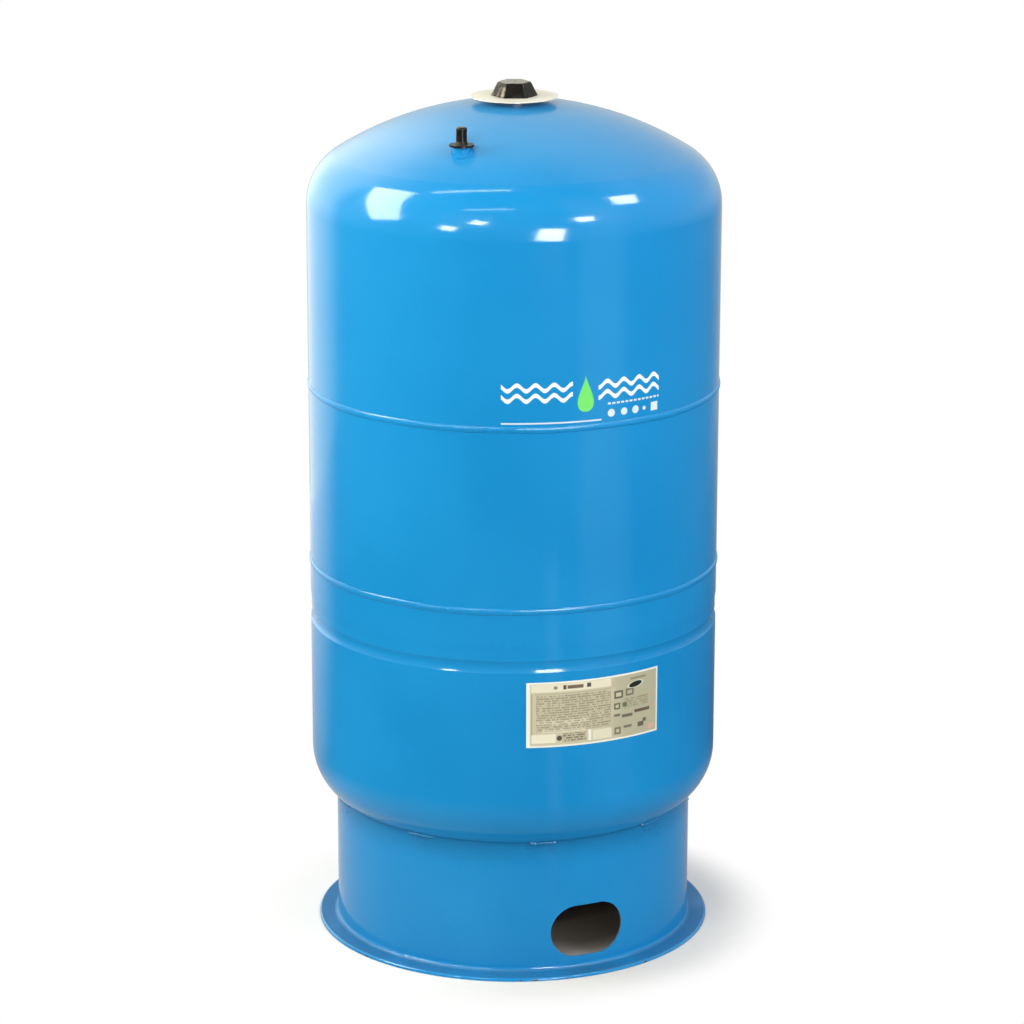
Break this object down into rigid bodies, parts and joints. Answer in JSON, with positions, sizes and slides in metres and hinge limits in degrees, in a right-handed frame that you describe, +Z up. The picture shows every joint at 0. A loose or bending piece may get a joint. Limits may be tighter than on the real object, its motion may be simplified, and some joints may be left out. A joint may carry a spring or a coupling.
{
  "type": "well pressure tank",
  "caption": "Standing steel diaphragm pressure tank for a well water system, with a pipe port in the skirt and an air valve on top.",
  "frame": {"origin": "centre of the foot flange on the floor, on the tank's axis", "axes": "+Z up along the tank's axis, -Y towards the pipe port in the skirt, +X to the right seen from the port"},
  "size_m": [0.393, 0.393, 0.8232],
  "materials": {
    "blue_enamel": "glossy sprayed enamel with slight orange peel",
    "stainless": "bead-blasted stainless steel",
    "plated_steel": "zinc plated",
    "brass": "turned",
    "black_plastic": "moulded, glossy",
    "black_rubber": "moulded butyl, matt",
    "white_plastic": "moulded polypropylene",
    "cream_plastic": "moulded, satin",
    "label_film": "printed film, satin"
  },
  "bodies": {
    "tank": {"top_head": "blue_enamel", "centre_ring": "blue_enamel", "bottom_head": "blue_enamel", "upper_girth_weld": "blue_enamel", "lower_girth_weld": "blue_enamel", "ring_seam_weld": "blue_enamel", "base_skirt": "blue_enamel", "skirt_welds": "blue_enamel", "water_elbow": "stainless", "elbow_weld": "blue_enamel", "liner": "white_plastic", "liner_o_ring": "black_rubber", "water_diffuser": "white_plastic", "diaphragm": "black_rubber", "clamp_hoop": "plated_steel", "plug_spud": "stainless", "plug_o_ring": "black_rubber", "top_washer": "cream_plastic", "top_plug": "black_plastic", "valve_boss": "blue_enamel", "boss_weld": "blue_enamel", "valve_stem": "brass", "valve_core": "brass", "core_gasket": "white_plastic", "valve_spring": "plated_steel", "rating_label": "label_film"},
    "cap": {"valve_cap": "black_plastic", "cap_o_ring": "black_rubber"},
    "pin": {"valve_pin": "plated_steel", "pin_seal": "black_rubber"}
  },
  "joints": [
    {"name": "cap_lift", "type": "slide", "parent": "tank", "child": "cap", "axis": [0, 0, 1], "range_m": [0, 0.03]},
    {"name": "pin_press", "type": "slide", "parent": "tank", "child": "pin", "axis": [0, 0, -1], "range_m": [0, 0.0015], "stiffness_N_per_m": 1000, "springref_m": -0.002, "deforming": ["valve_spring"]}
  ]
}
